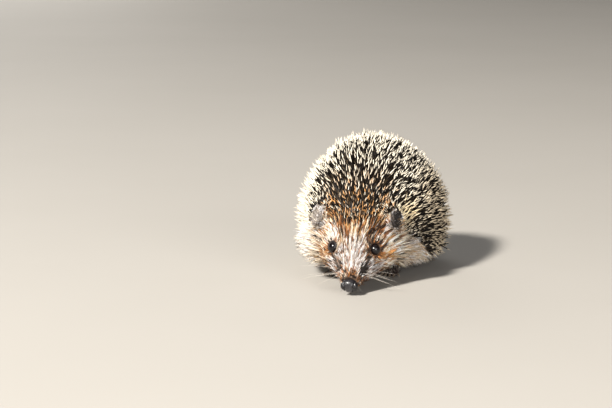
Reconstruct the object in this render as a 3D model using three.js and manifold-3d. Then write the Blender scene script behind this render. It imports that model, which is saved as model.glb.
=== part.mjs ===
// A young European hedgehog, life size, walking with its nose lowered to the ground.
// Millimetres, +Z up. The animal faces -Y and its left side is +X. It stands on z = 0.
// The solids follow the outer surface of the coat: spines on the back and brow, fur elsewhere.
// The body is modelled whole from smooth lofts and then parted by thin plane cuts.
import * as THREE from "three";
import { mergeVertices } from "three/addons/utils/BufferGeometryUtils.js";
import Module from "manifold-3d";

const wasm = await Module();
wasm.setup();

// ---------------------------------------------------------------- driving dimensions
const GAP = 0.3; // clearance between neighbouring pieces
const FAR = 300; // half size of the blocks that stand for half spaces
const SIDES = [1, -1]; // left, right
const SIDE_NAMES = { 1: "left", [-1]: "right" };

// Each station is one oval section: at = place along the piece, half = half width,
// top and bottom = its highest and lowest points, mid = height of its widest line. Below
// that line square 1 gives an ellipse and less gives a squarer section.
const TRUNK = [
  { at: -62, half: 0, top: 30, bottom: 30, mid: 30, square: 1 },
  { at: -55, half: 25.5, top: 57, bottom: 11.5, mid: 31, square: 0.75 },
  { at: -43, half: 34.5, top: 71, bottom: 8, mid: 30, square: 0.6 },
  { at: -27, half: 40.5, top: 80, bottom: 7, mid: 30, square: 0.52 },
  { at: -6, half: 44.5, top: 85, bottom: 5.5, mid: 29, square: 0.45 },
  { at: 15, half: 46, top: 83.5, bottom: 4.5, mid: 29, square: 0.42 },
  { at: 37, half: 42.5, top: 75, bottom: 5, mid: 30, square: 0.45 },
  { at: 56, half: 31.5, top: 58, bottom: 8.5, mid: 30, square: 0.6 },
  { at: 69, half: 0, top: 30, bottom: 30, mid: 30, square: 1 },
];
const HEM = { front: 32, low: 13, rear: 18 }; // height at which the spiny mantle ends
const HEM_STEP = 2.4; // how far the mantle's edge stands out over the flank's fur
const HEM_BLEND = 5; // height over which the step runs out
const BELLY_RISE = 4; // how much higher the belly is than the fur along the flanks

// The head's own frame has its origin at the tip of the nose and faces -Y too.
const HEAD_PITCH = THREE.MathUtils.degToRad(36); // nose down
const HEAD_TURN = THREE.MathUtils.degToRad(5); // to the animal's left
const HEAD_ROLL = THREE.MathUtils.degToRad(2); // its left side down
const HEAD_BASE = new THREE.Vector3(3.5, -42.8, 33.2); // middle of the head's base
const HEAD_LENGTH = 50; // from the head's base to the tip of the nose
const HEAD = [
  { at: 2.4, half: 0, top: -0.4, bottom: -0.4, mid: -0.4, square: 1 },
  { at: 4.2, half: 4.3, top: 3.7, bottom: -4.6, mid: -0.3, square: 1 },
  { at: 9, half: 6.3, top: 5.6, bottom: -7.4, mid: -0.5, square: 1 },
  { at: 16, half: 10, top: 8.8, bottom: -10, mid: -1.6, square: 0.9 },
  { at: 24, half: 15.8, top: 12.6, bottom: -13, mid: -3.2, square: 0.75 },
  { at: 32, half: 21.4, top: 16.4, bottom: -16.6, mid: -3.8, square: 0.65 },
  { at: 38, half: 24.8, top: 19.4, bottom: -18.2, mid: -3, square: 0.65 },
  { at: 43, half: 27.2, top: 24.5, bottom: -19, mid: -1, square: 0.7 },
  { at: 50, half: 29, top: 28.5, bottom: -19, mid: 2, square: 0.8 },
  { at: 60, half: 29, top: 27, bottom: -18, mid: 2, square: 1 },
  { at: 72, half: 0, top: 4, bottom: 4, mid: 4, square: 1 },
];
const SNOUT_END = 18; // where the snout meets the face, behind the nose tip
const HEAD_END = 45; // where the head meets the neck, behind the nose tip
const HEAD_CUT_LEAN = THREE.MathUtils.degToRad(24);

const NECK_CUT = new THREE.Vector3(0, -35, 38); // a point of the cut between neck and trunk
const NECK_CUT_LEAN = THREE.MathUtils.degToRad(14);

const JAW = [
  { at: 7.6, half: 0, top: -6.4, bottom: -6.4, mid: -6.4 },
  { at: 10, half: 3.2, top: -4.8, bottom: -8.6, mid: -6.4 },
  { at: 16, half: 5, top: -4.4, bottom: -11, mid: -7.2 },
  { at: 24, half: 7, top: -5, bottom: -13.6, mid: -9 },
  { at: 32, half: 0, top: -11, bottom: -11, mid: -11 },
];

const NOSE = { width: 10.3, height: 9.4, length: 7 };
const NOSE_RISE = 0.3; // the pad sits a little above the snout's axis
const NOSTRIL = { radius: 1.2, side: 3.3, rise: -0.5, back: 0.5 };

const EYE_RADIUS = 3.5;
const EYE = new THREE.Vector3(11.5, 27.3, 6); // left eye's centre in the head's frame

const EAR = { width: 9.2, height: 12.4, depth: 2.4, wall: 1.1, hollow: 1.3 };
const EAR_PLACE = new THREE.Vector3(23.4, 42.3, 16); // left ear's root in the head's frame
const EAR_TURN = THREE.MathUtils.degToRad(-60); // the opening faces forwards and outwards
const EAR_LEAN = THREE.MathUtils.degToRad(16); // the tip leans outwards

const TAIL_PATH = [
  [0, 58, 18],
  [0, 66, 14],
  [0, 73, 9.5],
];
const TAIL_RADII = [4, 3, 1.4];

// Legs are written for their own side: side distances are positive and mirrored on the right.
const FORE = {
  left: { paw: [16, -10], heading: -6, elbow: [18, -9, 14], top: [19, -16, 30] },
  right: { paw: [15, -16], heading: -4, elbow: [18, -13, 14], top: [19, -20, 30] },
};
const HIND = {
  left: { paw: [20, 48], heading: -8, elbow: [21, 48, 13], top: [21, 40, 28] },
  right: { paw: [20, 53], heading: -8, elbow: [21, 52, 13], top: [21, 44, 28] },
};
const FORE_RADII = [4.1, 6.4, 8];
const HIND_RADII = [4.4, 8.2, 11];
const FOREPAW = { length: 11, half: 5, height: 6, toe: 4.6, toeRadius: 1.5, claw: 4.2 };
const HINDPAW = { length: 19, half: 4.9, height: 6.4, toe: 5, toeRadius: 1.55, claw: 4 };
// One toe each, from the inner to the outer: its turn in degrees and its share of the toe length.
const TOES = [
  { turn: 34, share: 0.62 },
  { turn: 15, share: 0.95 },
  { turn: 0, share: 1.05 },
  { turn: -15, share: 0.95 },
  { turn: -34, share: 0.66 },
];

// ---------------------------------------------------------------- solids from meshes
function solidOf(geometry) {
  const bare = new THREE.BufferGeometry();
  bare.setAttribute("position", geometry.getAttribute("position"));
  bare.setIndex(geometry.index);
  const merged = mergeVertices(bare, 1e-4);
  return new wasm.Manifold(
    new wasm.Mesh({
      numProp: 3,
      vertProperties: new Float32Array(merged.attributes.position.array),
      triVerts: new Uint32Array(merged.index.array),
    }),
  );
}

function geometryOf(solid) {
  const mesh = solid.getMesh();
  const position = new Float32Array(mesh.numVert * 3);
  for (let i = 0; i < mesh.numVert; i++) {
    const start = i * mesh.numProp;
    position.set(mesh.vertProperties.subarray(start, start + 3), i * 3);
  }
  const geometry = new THREE.BufferGeometry();
  geometry.setAttribute("position", new THREE.BufferAttribute(position, 3));
  geometry.setIndex(new THREE.BufferAttribute(new Uint32Array(mesh.triVerts), 1));
  geometry.computeVertexNormals();
  return geometry;
}

const union = (...solids) => solids.reduce((whole, next) => whole.add(next));

// The body of the solid with the most volume: a cut can leave slivers beside it.
function largest(solid) {
  return solid.decompose().reduce((a, b) => (a.volume() > b.volume() ? a : b));
}

// ---------------------------------------------------------------- closed skins over rings
// Joins rings of points into one closed mesh, with a single point at each end.
function skinOver(rings, firstPole, lastPole) {
  const sides = rings[0].length;
  const points = [firstPole, ...rings.flat(), lastPole];
  const last = points.length - 1;
  const at = (ring, side) => 1 + ring * sides + (side % sides);
  const faces = [];
  for (let s = 0; s < sides; s++) {
    faces.push(0, at(0, s), at(0, s + 1));
    faces.push(last, at(rings.length - 1, s + 1), at(rings.length - 1, s));
    for (let r = 0; r + 1 < rings.length; r++) {
      faces.push(at(r, s), at(r + 1, s), at(r + 1, s + 1));
      faces.push(at(r, s), at(r + 1, s + 1), at(r, s + 1));
    }
  }
  const geometry = new THREE.BufferGeometry().setFromPoints(points);
  geometry.setIndex(faces);
  return geometry;
}

// A station's place as a turn from 0 to 1, so that sizes that fall to nothing at the ends
// give round ends.
function turnAt(stations, at) {
  const first = stations[0].at;
  const span = stations[stations.length - 1].at - first;
  return Math.acos(1 - (2 * (at - first)) / span) / Math.PI;
}

// A size between the stations, by a smooth curve through their values.
function sizeAt(stations, key, turn) {
  const turns = stations.map((station) => turnAt(stations, station.at));
  const values = stations.map((station) => station[key]);
  let i = 0;
  while (i < turns.length - 2 && turn > turns[i + 1]) i++;
  const slope = (a, b) => (values[b] - values[a]) / (turns[b] - turns[a]);
  const before = i > 0 ? slope(i - 1, i + 1) : slope(0, 1);
  const after = i + 2 < turns.length ? slope(i, i + 2) : slope(i, i + 1);
  const span = turns[i + 1] - turns[i];
  const t = (turn - turns[i]) / span;
  const rise = (t * t * (3 - 2 * t)) * (values[i + 1] - values[i]);
  const bend = t * (1 - t) * span * ((1 - t) * before - t * after);
  return values[i] + rise + bend;
}

const power = (value, exponent) => Math.sign(value) * Math.abs(value) ** exponent;

// A loft along +Y through oval stations. shape may move each point: it takes and returns
// a Vector3.
function loft(stations, { rings, sides, grow = 0, shape = (p) => p }) {
  const ends = [stations[0], stations[stations.length - 1]];
  const middle = (ends[0].at + ends[1].at) / 2;
  const stretch = 1 + (2 * grow) / (ends[1].at - ends[0].at);
  const along = (at) => middle + (at - middle) * stretch;
  const made = [];
  for (let r = 1; r < rings; r++) {
    const turn = r / rings;
    const at = ends[0].at + ((1 - Math.cos(Math.PI * turn)) / 2) * (ends[1].at - ends[0].at);
    const [half, top, bottom, mid] = ["half", "top", "bottom", "mid"].map((key) =>
      sizeAt(stations, key, turn),
    );
    const square = "square" in stations[0] ? sizeAt(stations, "square", turn) : 1;
    const ring = [];
    for (let s = 0; s < sides; s++) {
      const angle = (2 * Math.PI * s) / sides;
      const exponent = Math.sin(angle) < 0 ? square : 1;
      const across = power(Math.cos(angle), exponent);
      const up = power(Math.sin(angle), exponent);
      const reach = up > 0 ? top - mid : mid - bottom;
      const point = new THREE.Vector3(
        across * (Math.max(half, 0.2) + grow),
        along(at),
        mid + up * (Math.max(reach, 0.2) + grow),
      );
      ring.push(shape(point));
    }
    made.push(ring);
  }
  const pole = (end) => new THREE.Vector3(0, along(end.at), end.mid);
  return skinOver(made, pole(ends[0]), pole(ends[1]));
}

// A round limb along a smooth path, with round ends. flat below 1 lowers its height.
function limb(path, radii, { rings = 10, sides = 12, caps = 3, grow = 0 } = {}) {
  const curve = new THREE.CatmullRomCurve3(path.map((p) => new THREE.Vector3(...p)));
  const radiusAt = (t) => {
    const place = t * (radii.length - 1);
    const i = Math.min(Math.floor(place), radii.length - 2);
    return THREE.MathUtils.lerp(radii[i], radii[i + 1], place - i) + grow;
  };
  const made = [];
  const ends = [0, 1].map((t) => {
    const outwards = curve.getTangentAt(t).multiplyScalar(t ? 1 : -1);
    return curve.getPointAt(t).addScaledVector(outwards, radiusAt(t));
  });
  const frameAt = (t, shift, radius) => {
    const tangent = curve.getTangentAt(t);
    const side = new THREE.Vector3(0, 0, 1).cross(tangent);
    if (side.lengthSq() < 1e-4) side.set(1, 0, 0);
    side.normalize();
    const up = tangent.clone().cross(side).normalize();
    const centre = curve.getPointAt(t).addScaledVector(tangent, shift);
    return Array.from({ length: sides }, (_, s) => {
      const angle = (2 * Math.PI * s) / sides;
      return centre
        .clone()
        .addScaledVector(side, -Math.cos(angle) * radius)
        .addScaledVector(up, Math.sin(angle) * radius);
    });
  };
  for (let c = 1; c < caps; c++) {
    const lift = (Math.PI / 2) * (c / caps);
    made.push(frameAt(0, -radiusAt(0) * Math.cos(lift), radiusAt(0) * Math.sin(lift)));
  }
  for (let r = 0; r <= rings; r++) made.push(frameAt(r / rings, 0, radiusAt(r / rings)));
  for (let c = caps - 1; c > 0; c--) {
    const lift = (Math.PI / 2) * (c / caps);
    made.push(frameAt(1, radiusAt(1) * Math.cos(lift), radiusAt(1) * Math.sin(lift)));
  }
  return skinOver(made, ends[0], ends[1]);
}

function ball(radius, centre, [x, y, z] = [1, 1, 1], across = 12, up = 8) {
  return new THREE.SphereGeometry(radius, across, up)
    .rotateX(Math.PI / 2)
    .scale(x, y, z)
    .translate(centre.x, centre.y, centre.z);
}

// Everything on the side of a plane that its normal points to, moved back by the gap.
function halfSpace(point, normal, gap = GAP / 2) {
  const block = new THREE.BoxGeometry(2 * FAR, 2 * FAR, 2 * FAR);
  block.translate(0, 0, FAR + gap);
  const turn = new THREE.Quaternion().setFromUnitVectors(
    new THREE.Vector3(0, 0, 1),
    normal.clone().normalize(),
  );
  block.applyQuaternion(turn).translate(point.x, point.y, point.z);
  return solidOf(block);
}

const aboveFloor = halfSpace(new THREE.Vector3(0, 0, 0), new THREE.Vector3(0, 0, 1), 0);

// ---------------------------------------------------------------- the head's frame
const headMatrix = new THREE.Matrix4()
  .makeTranslation(HEAD_BASE)
  .multiply(new THREE.Matrix4().makeRotationZ(HEAD_TURN))
  .multiply(new THREE.Matrix4().makeRotationX(HEAD_PITCH))
  .multiply(new THREE.Matrix4().makeRotationY(HEAD_ROLL))
  .multiply(new THREE.Matrix4().makeTranslation(0, -HEAD_LENGTH, 0));

const inHead = (geometry) => solidOf(geometry.applyMatrix4(headMatrix));
const headPoint = (x, y, z) => new THREE.Vector3(x, y, z).applyMatrix4(headMatrix);
const headAxis = new THREE.Vector3(0, 1, 0).transformDirection(headMatrix); // towards the neck

// ---------------------------------------------------------------- trunk, neck and head
// Below the hem the flank's fur lies further in than the spines above it, and between
// the fur of the two flanks the belly is higher.
function coatShape(point) {
  const step = THREE.MathUtils.smoothstep;
  const hem =
    HEM.low +
    (HEM.front - HEM.low) * step(-point.y, 0, 50) +
    (HEM.rear - HEM.low) * step(point.y, 30, 62);
  const below = step(hem - point.z, -0.5, HEM_BLEND);
  point.x -= (point.x / Math.hypot(point.x, 8)) * HEM_STEP * below;
  const under = step(24 - point.z, 0, 12) * (1 - step(Math.abs(point.x), 18, 32));
  point.z += BELLY_RISE * under * step(point.y, -52, -34);
  return point;
}

const trunkLoft = (grow = 0) =>
  solidOf(loft(TRUNK, { rings: 20, sides: 36, grow, shape: coatShape }));
const headLoft = (grow = 0) => inHead(loft(HEAD, { rings: 16, sides: 22, grow }));
const wholeBody = (grow = 0) => union(trunkLoft(grow), headLoft(grow));

const leaning = (lean) => new THREE.Vector3(0, Math.cos(lean), Math.sin(lean));
const neckAxis = leaning(NECK_CUT_LEAN);
const headBaseAxis = leaning(HEAD_CUT_LEAN);
const headBase = headPoint(0, HEAD_END, 0);
const snoutBase = headPoint(0, SNOUT_END, 0);
const ahead = (axis) => axis.clone().negate();

// ---------------------------------------------------------------- face
const mirrored = (point, side) => new THREE.Vector3(side * point.x, point.y, point.z);
const eyeSolid = (side, grow = 0) => inHead(ball(EYE_RADIUS + grow, mirrored(EYE, side)));

const jawSolid = (grow = 0) => inHead(loft(JAW, { rings: 7, sides: 12, grow }));

function noseSolid(grow = 0) {
  const middle = new THREE.Vector3(0, NOSE.length / 2, NOSE_RISE);
  const sizes = [NOSE.width / 2 + grow, NOSE.length / 2 + grow, NOSE.height / 2 + grow];
  return inHead(ball(1, middle, sizes, 14, 9));
}

function nostril(side) {
  const place = new THREE.Vector3(side * NOSTRIL.side, NOSTRIL.back, NOSE_RISE + NOSTRIL.rise);
  return inHead(ball(NOSTRIL.radius, place, [1, 1.5, 1], 8, 5));
}

// A cupped ear: an oval shell with its hollow turned forwards and outwards.
function earSolid(side) {
  const shell = ball(1, new THREE.Vector3(), [EAR.width / 2, EAR.depth, EAR.height / 2], 12, 8);
  const hollow = ball(
    1,
    new THREE.Vector3(0, -EAR.hollow, 0),
    [EAR.width / 2 - EAR.wall, EAR.depth, EAR.height / 2 - EAR.wall],
    12,
    8,
  );
  const matrix = new THREE.Matrix4()
    .makeTranslation(side * EAR_PLACE.x, EAR_PLACE.y, EAR_PLACE.z)
    .multiply(new THREE.Matrix4().makeRotationY(side * EAR_LEAN))
    .multiply(new THREE.Matrix4().makeRotationZ(side * EAR_TURN * -1))
    .multiply(new THREE.Matrix4().makeRotationX(-HEAD_PITCH));
  return inHead(shell.applyMatrix4(matrix)).subtract(inHead(hollow.applyMatrix4(matrix)));
}

// ---------------------------------------------------------------- legs and paws
// The paw's own frame has its origin at the heel and points to -Y.
function pawMatrix(side, leg) {
  return new THREE.Matrix4()
    .makeTranslation(side * leg.paw[0], leg.paw[1], 0)
    .multiply(new THREE.Matrix4().makeRotationZ(THREE.MathUtils.degToRad(-side * leg.heading)));
}

function toePath(size, toe, side) {
  const turn = THREE.MathUtils.degToRad(side * toe.turn);
  const knuckle = new THREE.Vector3(
    -Math.sin(turn) * size.half * 1.15,
    -size.length + size.half * (1.1 - 0.75 * Math.cos(turn)),
    size.toeRadius * 0.9,
  );
  const reach = size.toe * toe.share;
  const spread = turn * 0.6;
  const tip = new THREE.Vector3(
    knuckle.x - Math.sin(spread) * reach,
    knuckle.y - Math.cos(spread) * reach,
    size.toeRadius * 0.75,
  );
  return { knuckle, tip, spread };
}

function pawSolid(size, side, leg, grow = 0) {
  const stations = [
    { at: -size.length, half: 0, top: 2.2, bottom: 1.6, mid: 2 },
    { at: -size.length * 0.72, half: size.half, top: size.height * 0.66, bottom: -1.4, mid: 1.4 },
    { at: -size.length * 0.3, half: size.half * 0.88, top: size.height, bottom: -1.5, mid: 1.8 },
    { at: size.half * 0.5, half: 0, top: 2.6, bottom: 1.6, mid: 2 },
  ];
  const matrix = pawMatrix(side, leg);
  const place = (geometry) => solidOf(geometry.applyMatrix4(matrix));
  const toes = TOES.map((toe) => {
    const { knuckle, tip } = toePath(size, toe, side);
    const radii = [size.toeRadius * 1.1, size.toeRadius, size.toeRadius * 0.9];
    const middle = knuckle.clone().lerp(tip, 0.5).setZ(size.toeRadius * 1.05);
    const path = [knuckle, middle, tip].map((p) => p.toArray());
    return place(limb(path, radii, { rings: 2, sides: 6, caps: 1, grow }));
  });
  const palm = place(loft(stations, { rings: 6, sides: 10, grow }));
  return union(palm, ...toes);
}

function clawSolid(size, toe, side, leg) {
  const { tip, spread } = toePath(size, toe, side);
  const beyond = (distance, height) => [
    tip.x - Math.sin(spread) * distance,
    tip.y - Math.cos(spread) * distance,
    height,
  ];
  const path = [beyond(0.6, 1.9), beyond(0.5 * size.claw, 2), beyond(size.claw, 0.75)];
  return solidOf(
    limb(path, [0.8, 0.65, 0.3], { rings: 2, sides: 6, caps: 1 }).applyMatrix4(pawMatrix(side, leg)),
  );
}

// The limb from the wrist or ankle up into the body.
function legSolid(size, side, leg, radii, grow = 0) {
  const heel = new THREE.Vector3(0, -size.length * 0.22, size.height * 0.55);
  heel.applyMatrix4(pawMatrix(side, leg));
  const up = [leg.elbow, leg.top].map(([x, y, z]) => [side * x, y, z]);
  return solidOf(limb([heel.toArray(), ...up], radii, { rings: 6, sides: 12, caps: 2, grow }));
}

// ---------------------------------------------------------------- the named pieces
const SPINE_COAT = { color: 0x8a7a63, roughness: 0.75, metalness: 0 };
const FACE_FUR = { color: 0xd9c3a6, roughness: 0.85, metalness: 0 };
const FLANK_FUR = { color: 0xa98c6b, roughness: 0.9, metalness: 0 };
const PAW_SKIN = { color: 0x6b4a3c, roughness: 0.7, metalness: 0 };
const EAR_SKIN = { color: 0x5a4a42, roughness: 0.75, metalness: 0 };
const NOSE_SKIN = { color: 0x17151a, roughness: 0.25, metalness: 0 };
const EYE_BALL = { color: 0x08070a, roughness: 0.06, metalness: 0 };
const CLAW_HORN = { color: 0x4a3a2e, roughness: 0.45, metalness: 0 };

const hedgehog = new THREE.Group();

function addPiece(name, solid, look) {
  const mesh = new THREE.Mesh(geometryOf(solid), new THREE.MeshStandardMaterial(look));
  mesh.name = name;
  hedgehog.add(mesh);
}

const body = wholeBody();
const bodyGrown = wholeBody(GAP);
const eyeSockets = union(...SIDES.map((side) => eyeSolid(side, GAP)));
const jaw = jawSolid().subtract(noseSolid(GAP));
const jawSlot = jawSolid(GAP);
const head = body
  .intersect(halfSpace(headBase, ahead(headBaseAxis)))
  .subtract(jawSlot)
  .subtract(noseSolid(GAP))
  .subtract(eyeSockets);

const neck = body
  .intersect(halfSpace(NECK_CUT, ahead(neckAxis)))
  .intersect(halfSpace(headBase, headBaseAxis));

addPiece("trunk", largest(body.intersect(halfSpace(NECK_CUT, neckAxis))), SPINE_COAT);
addPiece("neck", largest(neck), SPINE_COAT);
addPiece("head", largest(head.intersect(halfSpace(snoutBase, headAxis))), FACE_FUR);
addPiece("snout", largest(head.intersect(halfSpace(snoutBase, ahead(headAxis)))), FACE_FUR);
addPiece("lower_jaw", largest(jaw), FACE_FUR);
addPiece("nose", largest(noseSolid().subtract(nostril(1)).subtract(nostril(-1))), NOSE_SKIN);

for (const side of SIDES) {
  const name = SIDE_NAMES[side];
  addPiece(`eye_${name}`, eyeSolid(side), EYE_BALL);
  addPiece(`ear_${name}`, largest(earSolid(side).subtract(bodyGrown)), EAR_SKIN);
}

const kinds = [
  { kind: "fore", legs: FORE, size: FOREPAW, radii: FORE_RADII },
  { kind: "hind", legs: HIND, size: HINDPAW, radii: HIND_RADII },
];
for (const { kind, legs, size, radii } of kinds) {
  for (const side of SIDES) {
    const name = SIDE_NAMES[side];
    const leg = legs[name];
    const paw = pawSolid(size, side, leg).intersect(aboveFloor).subtract(bodyGrown);
    const limbSolid = legSolid(size, side, leg, radii)
      .subtract(bodyGrown)
      .subtract(pawSolid(size, side, leg, GAP))
      .subtract(jawSlot)
      .intersect(aboveFloor);
    addPiece(`${kind}leg_${name}`, largest(limbSolid), FLANK_FUR);
    addPiece(`${kind}paw_${name}`, largest(paw), PAW_SKIN);
    const pawGrown = pawSolid(size, side, leg, GAP);
    TOES.forEach((toe, index) => {
      const claw = clawSolid(size, toe, side, leg).subtract(pawGrown).intersect(aboveFloor);
      addPiece(`${kind}claw_${name}_${index + 1}`, largest(claw), CLAW_HORN);
    });
  }
}

const tail = solidOf(limb(TAIL_PATH, TAIL_RADII, { rings: 4, sides: 10, caps: 2 }));
addPiece("tail", largest(tail.subtract(bodyGrown)), FLANK_FUR);

// ---------------------------------------------------------------- the origin
// The origin is under the middle of the whole animal, on the floor.
const bounds = new THREE.Box3().setFromObject(hedgehog, true);
const centre = bounds.getCenter(new THREE.Vector3());
hedgehog.position.set(-centre.x, -centre.y, 0);

const root = new THREE.Group();
root.add(hedgehog);
export default root;
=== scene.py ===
"""A young European hedgehog, life size, standing low with its nose near the floor.

Lengths in the coat's sums are millimetres; meshes are metres. The animal faces -Y, its
left side is +X and it stands on z = 0.
"""
import math

import bmesh
import bpy
import numpy as np
from mathutils import Matrix, Vector
from mathutils.kdtree import KDTree


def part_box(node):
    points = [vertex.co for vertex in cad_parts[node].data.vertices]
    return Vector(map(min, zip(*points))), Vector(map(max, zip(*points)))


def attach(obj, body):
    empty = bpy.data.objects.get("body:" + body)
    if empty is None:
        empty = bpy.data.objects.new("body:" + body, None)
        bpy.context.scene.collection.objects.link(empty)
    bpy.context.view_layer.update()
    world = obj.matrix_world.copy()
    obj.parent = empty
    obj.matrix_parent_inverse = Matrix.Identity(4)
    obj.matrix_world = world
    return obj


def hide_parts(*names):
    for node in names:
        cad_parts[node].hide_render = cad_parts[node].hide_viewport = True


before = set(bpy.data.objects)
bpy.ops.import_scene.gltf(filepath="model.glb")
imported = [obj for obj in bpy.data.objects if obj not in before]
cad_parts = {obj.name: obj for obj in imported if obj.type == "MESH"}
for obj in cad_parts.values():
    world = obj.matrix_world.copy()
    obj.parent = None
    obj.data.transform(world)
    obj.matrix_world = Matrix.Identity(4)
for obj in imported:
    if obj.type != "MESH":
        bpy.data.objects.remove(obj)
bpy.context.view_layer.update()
bpy.ops.object.select_all(action="DESELECT")
MM = 0.001

# ---------------------------------------------------------------- camera
# It stands low in front of the animal, a little to its left, and looks slightly down.
# The nose fixes its place; it is aimed to the side of the animal by turning it only.
VIEW_AZIMUTH = math.radians(14.0)
VIEW_ELEVATION = math.radians(12.1)
VIEW_DISTANCE = 1.06
CAMERA_TURN = math.radians(15.37)
CAMERA_DIP = math.radians(9.594)

nose_low, nose_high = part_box("nose")
nose_centre = (nose_low + nose_high) / 2
towards_camera = Vector(
    (
        math.sin(VIEW_AZIMUTH) * math.cos(VIEW_ELEVATION),
        -math.cos(VIEW_AZIMUTH) * math.cos(VIEW_ELEVATION),
        math.sin(VIEW_ELEVATION),
    )
)
bpy.ops.object.camera_add(
    location=nose_centre + towards_camera * VIEW_DISTANCE,
    rotation=(math.pi / 2 - CAMERA_DIP, 0, CAMERA_TURN),
)
camera = bpy.context.object
camera.data.lens = 109.4
camera.data.sensor_width = 36
camera.data.clip_start = 0.01
bpy.context.scene.camera = camera
bpy.context.scene.view_settings.view_transform = "Standard"

# ---------------------------------------------------------------- floor and light
# A plain pale floor, a small strong light in front of the animal's right shoulder for the
# sun and its shadow, and large weak ones at its left, behind it and overhead.
class Link:
    """An output of a node, which can be used in sums."""

    def __init__(self, finish, socket):
        self.finish = finish
        self.socket = socket

    def sum_with(self, operation, first, second):
        return self.finish.node(
            "ShaderNodeMath", {0: first, 1: second}, operation=operation
        )

    def __add__(self, other):
        return self.sum_with("ADD", self, other)

    def __sub__(self, other):
        return self.sum_with("SUBTRACT", self, other)

    def __rsub__(self, other):
        return self.sum_with("SUBTRACT", other, self)

    def __mul__(self, other):
        return self.sum_with("MULTIPLY", self, other)

    __radd__ = __add__
    __rmul__ = __mul__


class Finish:
    """A material with its Principled shader, built from nodes."""

    def __init__(self, name, **constants):
        self.material = bpy.data.materials.new(name)
        self.material.use_nodes = True
        self.tree = self.material.node_tree
        self.shader = self.tree.nodes["Principled BSDF"]
        for socket, value in constants.items():
            self.shader.inputs[socket.replace("_", " ")].default_value = value

    def node(self, kind, inputs, output=0, **settings):
        made = self.tree.nodes.new(kind)
        for name, value in settings.items():
            setattr(made, name, value)
        for name, value in inputs.items():
            self.join(value, made.inputs[name])
        return Link(self, made.outputs[output])

    def join(self, value, socket):
        if isinstance(value, Link):
            self.tree.links.new(value.socket, socket)
        elif socket.type == "RGBA":
            socket.default_value = (*value, 1)
        else:
            socket.default_value = value

    def feed(self, **values):
        for name, value in values.items():
            self.join(value, self.shader.inputs[name.replace("_", " ")])

    def attribute(self, name, output="Fac"):
        return self.node("ShaderNodeAttribute", {}, output, attribute_name=name)

    def place(self):
        return self.node("ShaderNodeTexCoord", {}, "Object")

    def noise(self, scale, detail=3.0):
        inputs = {"Vector": self.place(), "Scale": scale, "Detail": detail}
        return self.node("ShaderNodeTexNoise", {**inputs, "Roughness": 0.6})

    def mix(self, factor, first, second, blend="MIX"):
        inputs = {0: factor, 6: first, 7: second}
        return self.node("ShaderNodeMix", inputs, 2, data_type="RGBA", blend_type=blend)

    def scaled(self, colour, value):
        """The colour times a value."""
        grey = self.node("ShaderNodeCombineColor", {0: value, 1: value, 2: value})
        return self.mix(1.0, colour, grey, "MULTIPLY")

    def spread(self, value, low, high, to_low=0.0, to_high=1.0):
        inputs = {"Value": value, 1: low, 2: high, 3: to_low, 4: to_high}
        return self.node("ShaderNodeMapRange", inputs)

    def bump(self, height, strength, distance):
        inputs = {"Height": height, "Strength": strength, "Distance": distance}
        return self.node("ShaderNodeBump", inputs)


FLOOR_PALE = (0.39, 0.37, 0.34)
FLOOR_WARM = (0.357, 0.337, 0.307)

bpy.ops.mesh.primitive_plane_add(size=8, location=(0, 1.5, 0))
floor = bpy.context.object
floor.name = "floor"
floor_finish = Finish("pale_floor", Roughness=0.75)
floor_finish.feed(
    Base_Color=floor_finish.mix(floor_finish.noise(3.0), FLOOR_PALE, FLOOR_WARM)
)
floor.data.materials.append(floor_finish.material)


def add_softbox(name, place, size, power, colour):
    """An area light that faces the middle of the animal."""
    bpy.ops.object.light_add(type="AREA", location=place)
    light = bpy.context.object
    light.name = name
    light.data.size = size
    light.data.energy = power
    light.data.color = colour
    aim = Vector((0, 0, 0.04)) - Vector(place)
    light.rotation_euler = aim.to_track_quat("-Z", "Y").to_euler()


add_softbox("light_sun", (-1.12, -2.97, 2.43), 0.42, 432, (1.0, 0.96, 0.90))
add_softbox("light_fill", (1.3, -1.45, 0.42), 1.0, 30, (1.0, 0.98, 0.96))
add_softbox("light_rim", (-2.4, 3.0, 1.16), 2.4, 52, (1.0, 0.97, 0.92))
add_softbox("light_top", (0.1, -0.1, 1.6), 1.2, 1.5, (0.97, 0.98, 1.0))
world = bpy.data.worlds.new("pale_room")
world.use_nodes = True
room_light = world.node_tree.nodes["Background"].inputs
room_light["Color"].default_value = (0.9, 0.93, 1.0, 1)
room_light["Strength"].default_value = 0.075
bpy.context.scene.world = world

# ---------------------------------------------------------------- skin
# One skin over the whole body, neck, head, ears, legs, paws and tail. It is made from the
# outer form of the coat, closed over the cuts between the pieces, and then drawn inwards by
# the depth of the coat that stands on it: deep under the spines, shallow on face and paws.
HEAD_TURN = math.radians(5)
HEAD_PITCH = math.radians(36)
HEAD_ROLL = math.radians(2)
EYE_BEHIND_NOSE = (0, 27.3, 6.0)
EYE_RADIUS = 3.5
NOSE_SIZE = np.array((4.65, 3.55, 4.3))
NOSE_MIDDLE = np.array((0, 3.5, 0.3))
EARS = ["ear_left", "ear_right"]
LIMBS = ["tail"] + [
    f"{part}_{side}"
    for part in ("foreleg", "forepaw", "hindleg", "hindpaw")
    for side in ("left", "right")
]
FLESH = ["trunk", "neck", "head", "snout", "lower_jaw"] + LIMBS + EARS
SKIN_VOXEL = 0.75
WELD = 0.02
GAP_CLOSING = 0.3
STEPS_INWARDS = 6


def box_of(node):
    return [np.array(corner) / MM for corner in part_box(node)]


head_axes = np.array(
    Matrix.Rotation(HEAD_TURN, 3, "Z")
    @ Matrix.Rotation(HEAD_PITCH, 3, "X")
    @ Matrix.Rotation(HEAD_ROLL, 3, "Y")
)
eye_places = [sum(box_of(f"eye_{side}")) / 2 for side in ("left", "right")]
nose_tip = sum(eye_places) / 2 - head_axes @ np.array(EYE_BEHIND_NOSE)


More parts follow.
